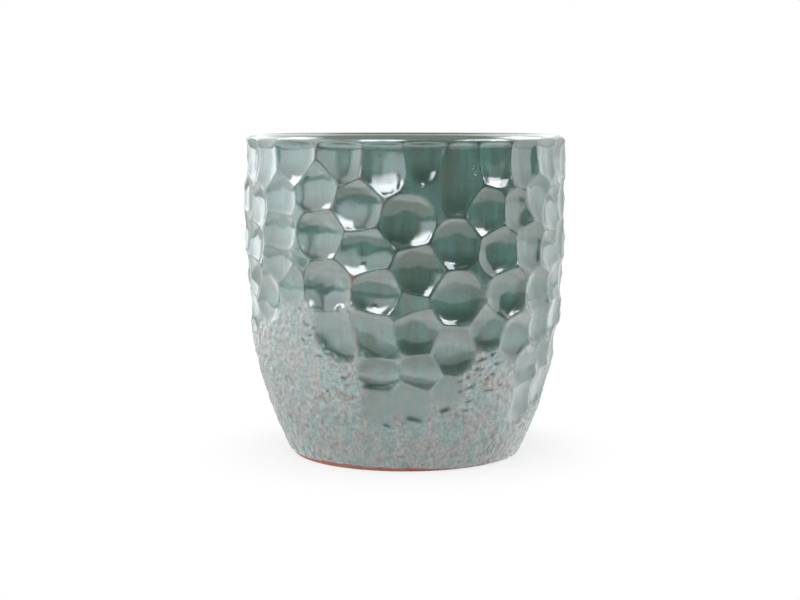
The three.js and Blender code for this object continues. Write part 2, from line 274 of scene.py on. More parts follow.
def pinholes(bearing, height):
    """Burst bubbles in the glaze: their raised rim less their pit, and how near a point is to one."""
    shape, near = np.zeros_like(bearing), np.zeros_like(bearing)
    for place, level, size in PINHOLES + [(place + 180, level, size) for place, level, size in PINHOLES]:
        across = turn_between(bearing, math.radians(place)) * clay_radius(height)
        far = np.hypot(across, height - level) / size
        shape += np.exp(-((far - RIM_FAR) / RIM_WIDE) ** 2) - np.exp(-far**2)
        near = np.maximum(near, np.exp(-((far / HALO) ** 2)))
    return shape, near


print(2 * len(NICKS + DENTS), "nicks and dents,", 2 * len(PINHOLES), "burst bubbles")

# %% [markdown]
# ## From rings to a closed mesh
# Every piece of the pot is a ring of clay or glaze. Its section is a closed loop of rows, each row runs round
# the pot, and the last row joins the first, so the mesh is closed by construction. The same helper lays out
# a texture map: once round the pot across, once round the section up, with more room for the rows that show.

# %% Helper that turns rows into a piece


def points_at(bearing, radius, height):
    """Points round the pot's axis. Bearing 0 faces the viewer, along -Y."""
    return np.stack([radius * np.sin(bearing), -radius * np.cos(bearing), height], axis=-1)


def turned_piece(name, bearing, radius, height, room, slot, *nodes):
    """A closed ring from rows of points, with its texture map. It stands for the CAD nodes that are named."""
    rows, columns = radius.shape
    points = points_at(bearing, radius, height)
    row, column = np.arange(rows)[:, None], np.arange(columns)[None, :]
    above, beside = (row + 1) % rows, (column + 1) % columns
    corners = [row * columns + column, row * columns + beside,
               above * columns + beside, above * columns + column]
    mesh = bpy.data.meshes.new(name)
    mesh.from_pydata(points.reshape(-1, 3) * MM, [], np.stack(corners, axis=-1).reshape(-1, 4))

    level = np.concatenate([[0], np.cumsum(room)]) / np.sum(room)
    left, right = np.broadcast_to(column / columns, (rows, columns)), (column + 1) / columns + 0 * row
    low, high = level[:-1, None] + 0 * column, level[1:, None] + 0 * column
    unwrapped = np.stack([left, low, right, low, right, high, left, high], axis=-1)
    mesh.uv_layers.new(name="OFBake").uv.foreach_set("vector", unwrapped.astype(np.float32).ravel())
    mesh.shade_smooth()

    piece = bpy.data.objects.new(name, mesh)
    scene.collection.objects.link(piece)
    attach(piece, "root")
    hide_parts(*nodes)
    print(name, rows, "rows x", columns, "columns")
    return piece


# %% Sections of the lip and the inside


def section_rows(section, columns):
    """Plain rows of one radius and height each, repeated all the way round."""
    corners = np.array(section, dtype=float)
    bearing = np.linspace(-math.pi, math.pi, columns, endpoint=False)[None, :] + 0 * corners[:, :1]
    return bearing, corners[:, :1] + 0 * bearing, corners[:, 1:] + 0 * bearing


def lip_section(offset, steps):
    """Half an ellipse over the lip, from just past the outside to the inside."""
    angle = np.arange(1, steps + 1) / steps * math.pi
    return np.stack([LIP_MIDDLE + (WALL / 2 + offset) * np.cos(angle),
                     LIP_START + (LIP_RISE + offset) * np.sin(angle)], axis=-1)


def inside_section(offset, top, wall_steps, cove_steps):
    """Down the inside of the wall and round the cove to the floor."""
    down = np.linspace(top, COVE_HEIGHT, wall_steps, endpoint=False)
    angle = np.linspace(0, math.pi / 2, cove_steps + 1)
    wall = np.stack([clay_radius(down) - WALL - offset, down], axis=-1)
    cove = np.stack([COVE_MIDDLE + (COVE - offset) * np.cos(angle),
                     COVE_HEIGHT - (COVE - offset) * np.sin(angle)], axis=-1)
    return np.concatenate([wall, cove])


def scooped_lip(offset, steps, columns):
    """Rows over the lip, with the scoops' ends bitten into its front."""
    bearing, radius, height = section_rows(lip_section(offset, steps), columns)
    front = radius > LIP_MIDDLE
    return bearing, radius - front * scoop_depth(bearing, height), height


print("glazed lip rises to", lip_section(COAT, 24)[:, 1].max().round(2), "mm")

# %% [markdown]
# ## The outer glaze
# The glaze is the piece everyone sees, so it gets the finest mesh: a point about every 1.3 mm, all from the
# formulas above. It ends above the foot in a hem that wanders, higher on the left, as a dipped edge does.
# Masks are kept on its points for the material: uncut wall, ridges, the pooled bottom and thin top of each
# scoop, brown breaks, nicks, low wall and lip. The material can then thin or pool the glaze exactly where the
# shape would, and paints shade along the ridges and into the nicks, and a reflection of the table on each
# scoop's top.

# %% Hem and grid of the outer glaze
COLUMNS, SKIN_ROWS, LIP_ROWS, BACK_ROWS = 720, 236, 24, 88
HEM_HEIGHT, HEM_SWING = 3.2, 1.8    # mm; it is higher on the left
HEM_TURN, HEM_SHARPNESS = 10, 2.5   # degrees, and how suddenly it steps down to the right
HEM_WAVES = [(0.35, 9, 1), (0.25, 23, 0)]   # height in mm, waves round the pot and start
HEM_ROUNDING = 0.3          # mm by which the lowest row lies further in

around = np.linspace(-math.pi, math.pi, COLUMNS, endpoint=False)
hem = HEM_HEIGHT + HEM_SWING * np.tanh(HEM_SHARPNESS * np.sin(math.radians(HEM_TURN) - around))
hem += sum(height * np.sin(count * around + start) for height, count, start in HEM_WAVES)
print("hem from", hem.min().round(1), "to", hem.max().round(1), "mm above the ground")


def skin_grid(rows):
    rise = np.linspace(0, 1, rows)[:, None]
    return around[None, :] + 0 * rise, hem + rise * (LIP_START - hem)


def ramp(value, zero, one):
    """0 where value is at zero, 1 where it is at one, and even between."""
    return np.clip((value - zero) / (one - zero), 0, 1)


# %% Skin of the outer glaze
MASK_SOFTNESS = 0.8
COARSE_HEIGHTS = (190, 160) # mm; the coarse wall sets in at the first and is full below the second
CALM_BAND = 8               # mm under the lip over which the hand's waves die out

skin_bearing, skin_height = skin_grid(SKIN_ROWS)
skin_depth = scoop_depth(skin_bearing, skin_height)
skin_radius = clay_radius(skin_height) + COAT - skin_depth
skin_points = points_at(skin_bearing, skin_radius, skin_height).reshape(-1, 3)
uncut, ridge, low = scooped(skin_bearing, skin_height, MASK_SOFTNESS)[1:]
coarse = uncut * ramp(skin_height, *COARSE_HEIGHTS)
lump = lumps(skin_points, coarse.ravel()).reshape(uncut.shape)
nick = nicks(skin_bearing, skin_height)
skin_radius += coarse * LUMP_HEIGHT * (lump + LUMP_RAISE) - NICK_DEPTH * nick
calm_at_lip = ramp(skin_height, LIP_START, LIP_START - CALM_BAND)
skin_radius += calm_at_lip * unevenness(skin_points).reshape(uncut.shape)
beaded = calm_at_lip * ridge * (1 - coarse)
skin_radius += BEAD_HEIGHT * beaded * beads(skin_points, beaded.ravel()).reshape(uncut.shape)
pinhole, near_pinhole = pinholes(skin_bearing, skin_height)
skin_radius += PINHOLE_RIM * pinhole
skin_radius = np.maximum(skin_radius, clay_radius(skin_height) + LEAST_COAT - skin_depth)
skin_radius[0] -= HEM_ROUNDING
print("skin from", skin_radius.min().round(1), "to", skin_radius.max().round(1), "mm")

# %% Outer glaze piece
SKIN_ROOM, LIP_ROOM, BACK_ROOM = 1.3, 1.0, 0.25     # share of the texture map for each row

lip_out = scooped_lip(COAT, LIP_ROWS, COLUMNS)
lip_back = [rows[::-1] for rows in scooped_lip(SEAT, LIP_ROWS // 2, COLUMNS)]
back_bearing, back_height = (grid[::-1] for grid in skin_grid(BACK_ROWS))
back_radius = clay_radius(back_height) + SEAT - scoop_depth(back_bearing, back_height)
outer_glaze = turned_piece(
    "scooped_outer_glaze",
    np.concatenate([skin_bearing, lip_out[0], lip_back[0], back_bearing]),
    np.concatenate([skin_radius, lip_out[1], lip_back[1], back_radius]),
    np.concatenate([skin_height, lip_out[2], lip_back[2], back_height]),
    np.repeat([SKIN_ROOM, LIP_ROOM, BACK_ROOM], [SKIN_ROWS, LIP_ROWS, LIP_ROWS // 2 + BACK_ROWS]),
    "outer_glaze", "outer_glaze")

# %% Ridges that broke to brown
BROWN_RIDGES = [            # bearing, lowest and highest point
    (-14, 276, 308), (-25, 251, 272), (-7.5, 246, 258), (-17.5, 161, 195), (-17.5, 116, 140),
    (-32.5, 131, 146), (25, 116, 138), (36.5, 108, 116), (51.5, 117, 132), (42.5, 169, 189), (11, 130, 140),
]
BROWN_WIDE, BROWN_FADE = 7, 4   # mm


def near_brown_ridge(bearing, height):
    """How near a point is to a ridge where the glaze broke to brown."""
    near = np.zeros_like(bearing)
    for place, low, high in BROWN_RIDGES + [(place + 180, low, high) for place, low, high in BROWN_RIDGES]:
        across = turn_between(bearing, math.radians(place)) * BELLY_RADIUS
        past = np.maximum(np.maximum(low - height, height - high), 0)
        near = np.maximum(near, np.exp(-((across / BROWN_WIDE) ** 4) - (past / BROWN_FADE) ** 2))
    return near


print(2 * len(BROWN_RIDGES), "brown ridges")

# %% Masks on the points of the outer glaze
THIN_LINE, WIDE_LINE = 0.6, 1.0     # softness that gives a thin or a wide line along the ridges
LINE_FACING, LEAST_LINE = (0.6, 0.8), 0.3   # lines fade where the wall turns away to the sides
LINE_HEIGHTS, THIN_AND_REFLECTION_HEIGHTS, LOW_HEIGHTS = (95, 155), (305, 265), (112, 82)
LIP_HEIGHTS = (LIP_START - 1, LIP_START + 4)
PINHOLE_BROWN = 0.36


def keep_mask(piece, name, values):
    mask = np.zeros(len(piece.data.vertices), dtype=np.float32)
    mask[:values.size] = values.ravel()
    piece.data.attributes.new(name, "FLOAT", "POINT").data.foreach_set("value", mask)
    print("mask", name, "covers", round(float(mask.mean()) * 100, 1), "%")


front_or_back = np.maximum(ramp(np.abs(np.cos(skin_bearing)), *LINE_FACING), LEAST_LINE)
thin_ridge = scooped(skin_bearing, skin_height, THIN_LINE)[2] * (1 - coarse)
thin_ridge *= ramp(skin_height, *LINE_HEIGHTS) * front_or_back
thin_ridge *= 1 - softened(skin_bearing, skin_height)
wide_ridge = scooped(skin_bearing, skin_height, WIDE_LINE)[2] * (1 - coarse)
brown = wide_ridge * near_brown_ridge(skin_bearing, skin_height)
lip_height = np.concatenate([skin_height, lip_out[2]])
keep_mask(outer_glaze, "uncut", coarse)
# the ridge mask says where shade is painted along the ridges
keep_mask(outer_glaze, "ridge", thin_ridge)
keep_mask(outer_glaze, "pool", np.clip(low, 0, 1))
# the thin mask covers each scoop's top: thinner glaze there, and partly a painted reflection of the table
keep_mask(outer_glaze, "thin", np.clip(-low, 0, 1) * ramp(skin_height, *THIN_AND_REFLECTION_HEIGHTS))
keep_mask(outer_glaze, "brown", np.maximum(brown, PINHOLE_BROWN * near_pinhole))
# the nick mask says where nicks and dents pool dark and where shade is painted into them
keep_mask(outer_glaze, "nick", nick)
keep_mask(outer_glaze, "low", ramp(skin_height, *LOW_HEIGHTS))
keep_mask(outer_glaze, "lip", ramp(lip_height, *LIP_HEIGHTS))

# %% [markdown]
# ## Clay wall, clay floor and inner glaze
# The clay wall lies hidden between the two coats, and still gets its own scooped skin, so no coarse facet can
# show through. The floor slab carries the foot ring, the only bare clay that shows, with its corners
# rounded by hand as on a wiped foot. The lining is a smooth coat down to the drain hole.

# %% Clay wall
CLAY_COLUMNS, CLAY_ROWS, CLAY_LIP_ROWS = 360, 110, 12
HIDDEN_STEPS = (30, 6)      # down the inside of the wall and round the cove, where it is hidden

clay_around = np.linspace(-math.pi, math.pi, CLAY_COLUMNS, endpoint=False)
clay_bearing = clay_around[None, :] + np.zeros((CLAY_ROWS, 1))
clay_height = np.linspace(WALL_BOTTOM, LIP_START, CLAY_ROWS)[:, None] + 0 * clay_bearing
clay_skin = clay_radius(clay_height) - scoop_depth(clay_bearing, clay_height)
clay_lip = scooped_lip(0, CLAY_LIP_ROWS, CLAY_COLUMNS)
within = np.concatenate([inside_section(0, LIP_START, *HIDDEN_STEPS)[1:], [[COVE_MIDDLE, WALL_BOTTOM]]])
within_rows = section_rows(within, CLAY_COLUMNS)
clay_wall = turned_piece(
    "pressed_clay_wall",
    np.concatenate([clay_bearing, clay_lip[0], within_rows[0]]),
    np.concatenate([clay_skin, clay_lip[1], within_rows[1]]),
    np.concatenate([clay_height, clay_lip[2], within_rows[2]]),
    np.ones(CLAY_ROWS + CLAY_LIP_ROWS + len(within)),
    "red_clay", "clay_wall")

# %% Helpers for the floor's section
MOST_OF_SIDE = 0.4          # a rounded corner takes no more of a side than this


def rounded(section, cut, steps=3):
    """Rounds every corner of a closed section by a small curve."""
    corners = [Vector(corner) for corner in section]
    out = []
    for before, corner, after in zip(corners[-1:] + corners[:-1], corners, corners[1:] + corners[:1]):
        reach = [min(cut, (other - corner).length * MOST_OF_SIDE) for other in (before, after)]
        start = corner + (before - corner).normalized() * reach[0]
        end = corner + (after - corner).normalized() * reach[1]
        for step in np.linspace(0, 1, steps + 1):
            out.append(tuple(start.lerp(corner, step).lerp(corner.lerp(end, step), step)))
    return out


def filled(section, longest):
    """Adds points along the long sides of a closed section."""
    out = []
    for start, end in zip(section, section[1:] + section[:1]):
        count = max(1, math.ceil(math.dist(start, end) / longest))
        out += [tuple(Vector(start).lerp(Vector(end), step / count)) for step in range(count)]
    return out


# %% Clay floor with its foot ring and drain hole
FLOOR_COLUMNS = 240
CORNER_CUT, LONGEST_SIDE = 1.2, 6   # mm

plug = COVE_MIDDLE - SEAT
foot_inside = FOOT_RADIUS - FOOT_WIDTH
floor_section = filled(rounded([
    (DRAIN_RADIUS + DRAIN_BEVEL, FOOT_RISE), (foot_inside - FOOT_RISE, FOOT_RISE), (foot_inside, 0),
    (FOOT_RADIUS - FOOT_BEVEL, 0), (float(clay_radius(FOOT_BEVEL)), FOOT_BEVEL),
    (float(clay_radius(SHOULDER)), SHOULDER), (plug, SHOULDER), (plug, FLOOR_TOP),
    (DRAIN_RADIUS + DRAIN_BEVEL, FLOOR_TOP), (DRAIN_RADIUS, FLOOR_TOP - DRAIN_BEVEL),
    (DRAIN_RADIUS, FOOT_RISE + DRAIN_BEVEL)], CORNER_CUT), LONGEST_SIDE)
clay_floor = turned_piece("footed_clay_floor", *section_rows(floor_section, FLOOR_COLUMNS),
                          np.ones(len(floor_section)), "red_clay", "clay_floor")

# %% Inner glaze
SEAT_ROOM, SEEN_ROOM = 0.4, 1.0     # share of the texture map for each row
SEEN_STEPS = (60, 12)
END_BACK, END_IN, END_DOWN = 0.6, 0.15, 0.25    # mm; the coat's end at the drain hole is rounded

hole = DRAIN_RADIUS + DRAIN_BEVEL + DRAIN_MARGIN
lining_top = LIP_START - SEAT
floor_seat = [(radius, FLOOR_TOP + SEAT) for radius in np.linspace(hole, COVE_MIDDLE, 12, endpoint=False)]
floor_seen = [(radius, FLOOR_TOP + COAT) for radius in np.linspace(COVE_MIDDLE, hole + END_BACK, 14)[1:]]
rounded_end = [(hole + END_IN, FLOOR_TOP + COAT - END_DOWN)]
seat_side = np.concatenate([floor_seat, inside_section(SEAT, lining_top, *HIDDEN_STEPS)[::-1]])
seen_side = np.concatenate([inside_section(COAT, lining_top, *SEEN_STEPS), floor_seen, rounded_end])
inner_glaze = turned_piece(
    "plain_inner_glaze", *section_rows(np.concatenate([seat_side, seen_side]), FLOOR_COLUMNS),
    np.repeat([SEAT_ROOM, SEEN_ROOM], [len(seat_side), len(seen_side)]),
    "inner_glaze", "inner_glaze")

# %% [markdown]
# ## The glaze finish
# The glaze is a glassy coat that moves in the kiln: it pools dark green in hollows, runs in fine upright
# streaks, clouds to paler teal, and breaks to brown where it thins over ridges and lumps. It could be painted
# by hand, but noise in the object's own space has no seams. Both coats share the clouded and streaked colour,
# so that is a node group. Pools and breaks belong to the outside only, and follow the masks, and so do the
# painted shade along the ridges and in the nicks and the painted reflection of the table on each scoop's top.

# %% Node helpers


def add(tree, kind, **settings):
    node = tree.nodes.new(kind)
    for name, value in settings.items():
        setattr(node, name, value)
    return node


def feed(tree, target, source):
    """Links a socket, or sets a plain value."""
    if isinstance(source, bpy.types.NodeSocket):
        tree.links.new(source, target)
    else:
        target.default_value = source


def maths(tree, operation, *values):
    node = add(tree, "ShaderNodeMath", operation=operation)
    for socket, value in zip(node.inputs, values):
        feed(tree, socket, value)
    return node.outputs[0]


def mixed(tree, factor, first, second, how="MIX"):
    node = add(tree, "ShaderNodeMix", data_type="RGBA", blend_type=how)
    for socket, value in zip((node.inputs[0], node.inputs[6], node.inputs[7]), (factor, first, second)):
        feed(tree, socket, value)
    return node.outputs[2]


def spread(tree, value, low, high, out_low=0.0, out_high=1.0):
    """A soft step from low to high."""
    node = add(tree, "ShaderNodeMapRange", interpolation_type="SMOOTHSTEP")
    for socket, item in zip(node.inputs, (value, low, high, out_low, out_high)):
        feed(tree, socket, item)
    return node.outputs[0]


def grain(tree, stretch, detail=3.0):
    """Noise in the object's own space. stretch gives the patches per metre along X, Y and Z."""
    place = add(tree, "ShaderNodeTexCoord").outputs["Object"]
    scaled = add(tree, "ShaderNodeVectorMath", operation="MULTIPLY")
    feed(tree, scaled.inputs[0], place)
    feed(tree, scaled.inputs[1], stretch)
    texture = add(tree, "ShaderNodeTexNoise")
    feed(tree, texture.inputs["Vector"], scaled.outputs[0])
    feed(tree, texture.inputs["Scale"], 1.0)
    feed(tree, texture.inputs["Detail"], detail)
    return texture.outputs["Fac"]


# %% Material and group helpers


def colour(red, green, blue):
    """A colour as a paint chart gives it, turned to the linear values that shaders use."""
    return (*[((part / 255 + 0.055) / 1.055) ** 2.4 for part in (red, green, blue)], 1.0)


def new_group(name, inputs, outputs):
    group = bpy.data.node_groups.new(name, "ShaderNodeTree")
    for label, kind in inputs:
        group.interface.new_socket(name=label, in_out="INPUT", socket_type="NodeSocket" + kind)
    for label, kind in outputs:
        group.interface.new_socket(name=label, in_out="OUTPUT", socket_type="NodeSocket" + kind)
    return group, add(group, "NodeGroupInput").outputs, add(group, "NodeGroupOutput").inputs


def place_group(tree, group, **values):
    node = add(tree, "ShaderNodeGroup", node_tree=group)
    for name, value in values.items():
        feed(tree, node.inputs[name], value)
    return node.outputs


def new_material(name):
    material = bpy.data.materials.new(name)
    material.use_nodes = True
    return material, material.node_tree, material.node_tree.nodes["Principled BSDF"]


def mask(tree, name):
    return add(tree, "ShaderNodeAttribute", attribute_name=name).outputs["Fac"]


# %% Node group: clouded and streaked glaze
pooled_glaze, given, out = new_group(
    "Pooled glaze",
    [("Deep", "Color"), ("Light", "Color"), ("Streaks", "Float")],
    [("Colour", "Color"), ("Run", "Float")])
clouds = spread(pooled_glaze, grain(pooled_glaze, (24, 24, 20), 4), 0.38, 0.66)
runs = spread(pooled_glaze, grain(pooled_glaze, (130, 130, 9), 3), 0.38, 0.64)
speckle = spread(pooled_glaze, grain(pooled_glaze, (520, 520, 520), 2), 0.3, 0.7)
body = mixed(pooled_glaze, clouds, given["Deep"], given["Light"])
streaked = mixed(pooled_glaze, maths(pooled_glaze, "MULTIPLY", runs, given["Streaks"]), body, given["Light"])
shade = maths(pooled_glaze, "MULTIPLY_ADD", speckle, 0.16, 0.92)
feed(pooled_glaze, out["Colour"], mixed(pooled_glaze, 1.0, streaked, shade, "MULTIPLY"))
feed(pooled_glaze, out["Run"], runs)
print("group", pooled_glaze.name, "with", len(pooled_glaze.nodes), "nodes")

# %% Outer glaze: colour of the scooped wall
GLAZE_IOR = 1.7             # a dense glaze mirrors more than window glass, which has 1.5
DEEP_TEAL, LIGHT_TEAL, POOL_AND_SHADE_TEAL = colour(68, 96, 87), colour(84, 118, 111), colour(36, 64, 53)
OLIVE, TURQUOISE = colour(84, 93, 80), colour(82, 136, 126)
THIN_GLAZE_AND_REFLECTION_GREY, LIP_OLIVE = colour(100, 110, 99), colour(106, 119, 108)

outer_finish, tree, shader = new_material("scooped_teal_glaze")
glaze = place_group(tree, pooled_glaze, Deep=DEEP_TEAL, Light=LIGHT_TEAL, Streaks=0.5)
olive_runs = spread(tree, grain(tree, (75, 75, 10), 2), 0.5, 0.66, 0.0, 0.5)
bright_runs = spread(tree, grain(tree, (65, 65, 12), 3), 0.5, 0.72, 0.0, 0.5)
running = mixed(tree, bright_runs, mixed(tree, olive_runs, glaze["Colour"], OLIVE), TURQUOISE)
pooling = mixed(tree, spread(tree, mask(tree, "pool"), 0.15, 0.75, 0.0, 0.8), running, POOL_AND_SHADE_TEAL)
# Each scoop's top turns grey: thinner glaze, and partly a painted reflection of the table
thinned_and_reflecting = mixed(tree, spread(tree, mask(tree, "thin"), 0.1, 0.7, 0.0, 0.7), pooling, THIN_GLAZE_AND_REFLECTION_GREY)
scooped_colour = mixed(tree, mask(tree, "lip"), thinned_and_reflecting, LIP_OLIVE)
print("scooped wall coloured with", len(tree.nodes), "nodes")

# %% Outer glaze: colour of the coarse wall
GREY_TEAL, SEA_TEAL = colour(137, 141, 137), colour(117, 141, 137)
LOW_SHARE = 0.5             # how far the smooth cells low on the wall take the coarse wall's colour

uncut_wall = mask(tree, "uncut")
tinted = mixed(tree, spread(tree, grain(tree, (100, 100, 30), 3), 0.4, 0.6), GREY_TEAL, SEA_TEAL)
mottled = spread(tree, grain(tree, (310, 310, 240), 2), 0.3, 0.7, 0.78, 1.18)
tinted = mixed(tree, uncut_wall, tinted, mixed(tree, 1.0, tinted, mottled, "MULTIPLY"))
pale = maths(tree, "MAXIMUM", uncut_wall, maths(tree, "MULTIPLY", mask(tree, "low"), LOW_SHARE))
wall_colour = mixed(tree, pale, scooped_colour, tinted)
print("coarse wall added, now", len(tree.nodes), "nodes")

# %% Outer glaze: painted shade on ridges, brown flecks, and nicks pooled and shaded
RIDGE_PAINTED_SHADE, BREAK_BROWN = colour(46, 56, 50), colour(104, 72, 54)
LINE_STRENGTH, FLECK_STRENGTH, NICK_POOL_AND_SHADE_STRENGTH = 0.65, 0.7, 0.85
CURL_LEVEL = 0.52           # flecks curl along the places where a noise has this value

# Painted shade: a dark line along each ridge, fading where the wall turns to the sides, darkens the glaze
outline = spread(tree, mask(tree, "ridge"), 0.2, 0.5)
outlined = mixed(tree, maths(tree, "MULTIPLY", outline, LINE_STRENGTH), wall_colour, RIDGE_PAINTED_SHADE)
off_curl = maths(tree, "ABSOLUTE", maths(tree, "SUBTRACT", grain(tree, (96, 96, 78), 1.0), CURL_LEVEL))
curls = spread(tree, off_curl, 0.015, 0.055, 1.0, 0.0)
broken_up = spread(tree, grain(tree, (170, 170, 130), 1), 0.46, 0.54)
clusters = spread(tree, grain(tree, (34, 34, 34), 2), 0.34, 0.54)
flecks = maths(tree, "MULTIPLY", curls, maths(tree, "MULTIPLY", broken_up, clusters))
flecks = maths(tree, "MULTIPLY", maths(tree, "MULTIPLY", flecks, uncut_wall), FLECK_STRENGTH)
brown_ridge = spread(tree, mask(tree, "brown"), 0.2, 0.5, 0.0, 0.6)
breaks = maths(tree, "MAXIMUM", brown_ridge, flecks)
broken = mixed(tree, breaks, outlined, BREAK_BROWN)
pitted = mask(tree, "nick")
# Nicks and dents darken to the pool colour: partly pooled glaze, partly painted shade
nicked_and_shaded = mixed(tree, maths(tree, "MULTIPLY", pitted, NICK_POOL_AND_SHADE_STRENGTH), broken, POOL_AND_SHADE_TEAL)
feed(tree, shader.inputs["Base Color"], nicked_and_shaded)
print("ridges, flecks and nicks added, now", len(tree.nodes), "nodes")

# %% Outer glaze: gloss
SMOOTH, COARSER, BARER = 0.1, 0.16, 0.35    # roughness, and what coarse wall and bare breaks add to it
FULL_MIRROR = 0.5           # Principled's plain specular level
LINE_DULLNESS = 0.45

dull_nicks = spread(tree, pitted, 0.2, 0.7, 0.0, 0.6)
dulled = maths(tree, "MAXIMUM", dull_nicks, maths(tree, "MULTIPLY", outline, LINE_DULLNESS))
mirror = maths(tree, "MULTIPLY_ADD", dulled, -FULL_MIRROR, FULL_MIRROR)
feed(tree, shader.inputs["Specular IOR Level"], mirror)
gloss = maths(tree, "MULTIPLY_ADD", uncut_wall, COARSER, SMOOTH)
feed(tree, shader.inputs["Roughness"], maths(tree, "MULTIPLY_ADD", breaks, BARER, gloss))
feed(tree, shader.inputs["IOR"], GLAZE_IOR)
outer_glaze.data.materials.append(outer_finish)
print("material", outer_finish.name, "with", len(tree.nodes), "nodes")

# %% Inner glaze material
INNER_DEEP, INNER_LIGHT = colour(70, 106, 96), colour(98, 134, 124)

inner_finish, tree, shader = new_material("plain_teal_glaze")
glaze = place_group(tree, pooled_glaze, Deep=INNER_DEEP, Light=INNER_LIGHT, Streaks=0.3)
feed(tree, shader.inputs["Base Color"], glaze["Colour"])
feed(tree, shader.inputs["Roughness"], spread(tree, glaze["Run"], 0.0, 1.0, 0.1, 0.18))
feed(tree, shader.inputs["IOR"], GLAZE_IOR)
inner_glaze.data.materials.append(inner_finish)
print("material", inner_finish.name, "with", len(tree.nodes), "nodes")

# %% [markdown]
# ## The bare clay
# The foot was wiped clean of glaze, and the fired clay there is orange-red, matt and slightly sandy. Wall and
# floor are the same clay; the wall stays hidden, so one material serves both.

# %% Clay material
RED_CLAY, PALE_CLAY, SAND = colour(166, 98, 79), colour(186, 120, 99), colour(200, 148, 127)
SAND_DEPTH = 0.0004         # m

clay_finish, tree, shader = new_material("bare_red_clay")
sand = grain(tree, (900, 900, 900), 3)
warm = mixed(tree, spread(tree, grain(tree, (60, 60, 90), 4), 0.35, 0.65), RED_CLAY, PALE_CLAY)
feed(tree, shader.inputs["Base Color"], mixed(tree, spread(tree, sand, 0.55, 0.7), warm, SAND))
feed(tree, shader.inputs["Roughness"], spread(tree, sand, 0.3, 0.7, 0.75, 0.92))
bump = add(tree, "ShaderNodeBump")
feed(tree, bump.inputs["Height"], sand)
feed(tree, bump.inputs["Distance"], SAND_DEPTH)
feed(tree, shader.inputs["Normal"], bump.outputs["Normal"])
for piece in (clay_wall, clay_floor):
    piece.data.materials.append(clay_finish)
print("material", clay_finish.name, "with", len(tree.nodes), "nodes")

# %% [markdown]
# ## Table, room and lamps
# The pot stands on a white table in a bright studio. Table and walls look white to the camera and in gloss,
# at a strength of 1, the ceiling is dim, and the table keeps the pot's soft shadow. Three plain lamps light
# the colour of the glaze and the clay. They could also make the highlights, but a lamp bright enough for
# those would wash out the colour, so the highlights come from panels in the next step.

# %% White table
TABLE_HALF, TABLE_WHITE = 9, (0.86, 0.86, 0.86, 1)
SHADOW_FROM, SHADOW_TO, LEAST_WHITE = 0.11, 0.22, 0.74     # near the pot more of the shadow shows


def flat_square(name, x, y):
    mesh = bpy.data.meshes.new(name)
    mesh.from_pydata([(-x, -y, 0), (x, -y, 0), (x, y, 0), (-x, y, 0)], [], [(0, 1, 2, 3)])
    return bpy.data.objects.new(name, mesh)


def seen_directly(tree):
    """1 for rays from the camera and for what shows in gloss or glass."""
    path = add(tree, "ShaderNodeLightPath").outputs
    seen = maths(tree, "MAXIMUM", path["Is Camera Ray"], path["Is Glossy Ray"])
    return maths(tree, "MAXIMUM", seen, path["Is Transmission Ray"])


table = flat_square("white_table", TABLE_HALF, TABLE_HALF)
scene.collection.objects.link(table)
table_finish, tree, shader = new_material("white_table")
feed(tree, shader.inputs["Base Color"], TABLE_WHITE)
feed(tree, shader.inputs["Roughness"], 0.6)
feed(tree, shader.inputs["Specular IOR Level"], 0.0)
glow = add(tree, "ShaderNodeEmission")
far = add(tree, "ShaderNodeVectorMath", operation="LENGTH")
feed(tree, far.inputs[0], add(tree, "ShaderNodeTexCoord").outputs["Object"])
white_share = spread(tree, far.outputs["Value"], SHADOW_FROM, SHADOW_TO, LEAST_WHITE, 1.0)
bright = maths(tree, "MULTIPLY", white_share, seen_directly(tree))
surface = add(tree, "ShaderNodeMixShader")
for socket, source in zip(surface.inputs, (bright, shader.outputs[0], glow.outputs[0])):
    feed(tree, socket, source)
feed(tree, tree.nodes["Material Output"].inputs["Surface"], surface.outputs[0])
table.data.materials.append(table_finish)
print(table.name, 2 * TABLE_HALF, "m wide")

# %% Room
FILL = 0.4                  # the light that the room gives
WHITE_WALLS, DIM_CEILING = 0.6, 0.05    # what is added to it where the room is seen
CEILING_FROM, CEILING_FULL = 0.6, 0.85  # upward share of the viewing direction

world = bpy.data.worlds.new("white_room")
scene.world = world
world.use_nodes = True
tree = world.node_tree
fill = tree.nodes["Background"]
way = add(tree, "ShaderNodeSeparateXYZ")
feed(tree, way.inputs[0], add(tree, "ShaderNodeTexCoord").outputs["Generated"])
walls = spread(tree, way.outputs["Z"], CEILING_FROM, CEILING_FULL, WHITE_WALLS, DIM_CEILING)
feed(tree, fill.inputs["Strength"], maths(tree, "MULTIPLY_ADD", seen_directly(tree), walls, FILL))
feed(tree, fill.inputs["Color"], (1, 1, 1, 1))
print("room gives", FILL, "and looks", FILL + WHITE_WALLS)

# %% Lamps
POT_MIDDLE = Vector((0, 0, 0.17))
LAMP_DISTANCE = 1.6
LAMPS = [                   # bearing, rise, width and height in m, and how white it looks: 1 is paper white
    ("left_lamp", -85, 25, 1.4, 1.2, 2.2),
    ("right_lamp", 85, 25, 1.4, 1.2, 1.9),
    ("front_lamp", -12, 40, 1.2, 0.8, 2.6),
]


def aim(thing, bearing, rise, distance):
    """Puts a lamp or panel round the pot, at a bearing and rise in degrees, and turns it to the pot."""
    side, up = math.radians(bearing), math.radians(rise)
    way = Vector((math.sin(side) * math.cos(up), -math.cos(side) * math.cos(up), math.sin(up)))
    thing.location = POT_MIDDLE + way * distance
    thing.rotation_euler = way.to_track_quat("Z", "Y").to_euler()


